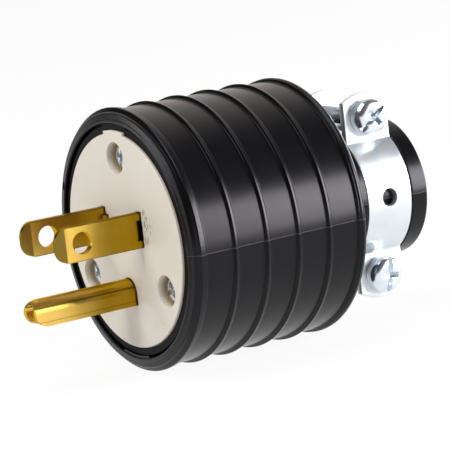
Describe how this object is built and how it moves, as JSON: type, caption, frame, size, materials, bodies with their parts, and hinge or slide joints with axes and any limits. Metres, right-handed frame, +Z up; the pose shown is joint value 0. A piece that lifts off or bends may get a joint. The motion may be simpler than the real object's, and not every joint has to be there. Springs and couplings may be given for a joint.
{
  "type": "grounded mains plug",
  "caption": "Rewirable mains plug with flat blades, an arched ground pin, a ribbed round rubber body, a cream front plate and a steel strap clamp round the neck where the cord enters",
  "frame": {"origin": "Centre of the front face, which lies against the outlet's face", "axes": "+X runs back along the plug's axis to the cord end, the contacts point to -X, +Z is up with the ground pin below the blades, +Y is the side of the hot blade"},
  "size_m": [0.0796, 0.0486, 0.0486],
  "materials": {
    "black_rubber": "semi-gloss",
    "black_nylon": "satin",
    "cream_nylon": "satin",
    "brass": "bright",
    "zinc_steel": "bright zinc plate",
    "green_screw": "satin"
  },
  "bodies": {
    "root": {"outer_shell": "black_rubber", "inner_housing": "black_nylon", "face_plate": "cream_nylon", "terminal_block": "cream_nylon", "blade_hot": "brass", "blade_neutral": "brass", "ground_pin": "brass", "wire_plate_hot": "brass", "wire_plate_neutral": "zinc_steel", "wire_plate_ground": "zinc_steel", "terminal_screw_hot": "brass", "terminal_screw_neutral": "zinc_steel", "terminal_screw_ground": "green_screw", "face_screw_top": "zinc_steel", "face_screw_left": "zinc_steel", "face_screw_right": "zinc_steel", "clamp_strap_front": "zinc_steel", "clamp_strap_back": "zinc_steel", "clamp_screw_top": "zinc_steel", "clamp_screw_bottom": "zinc_steel"}
  },
  "joints": []
}
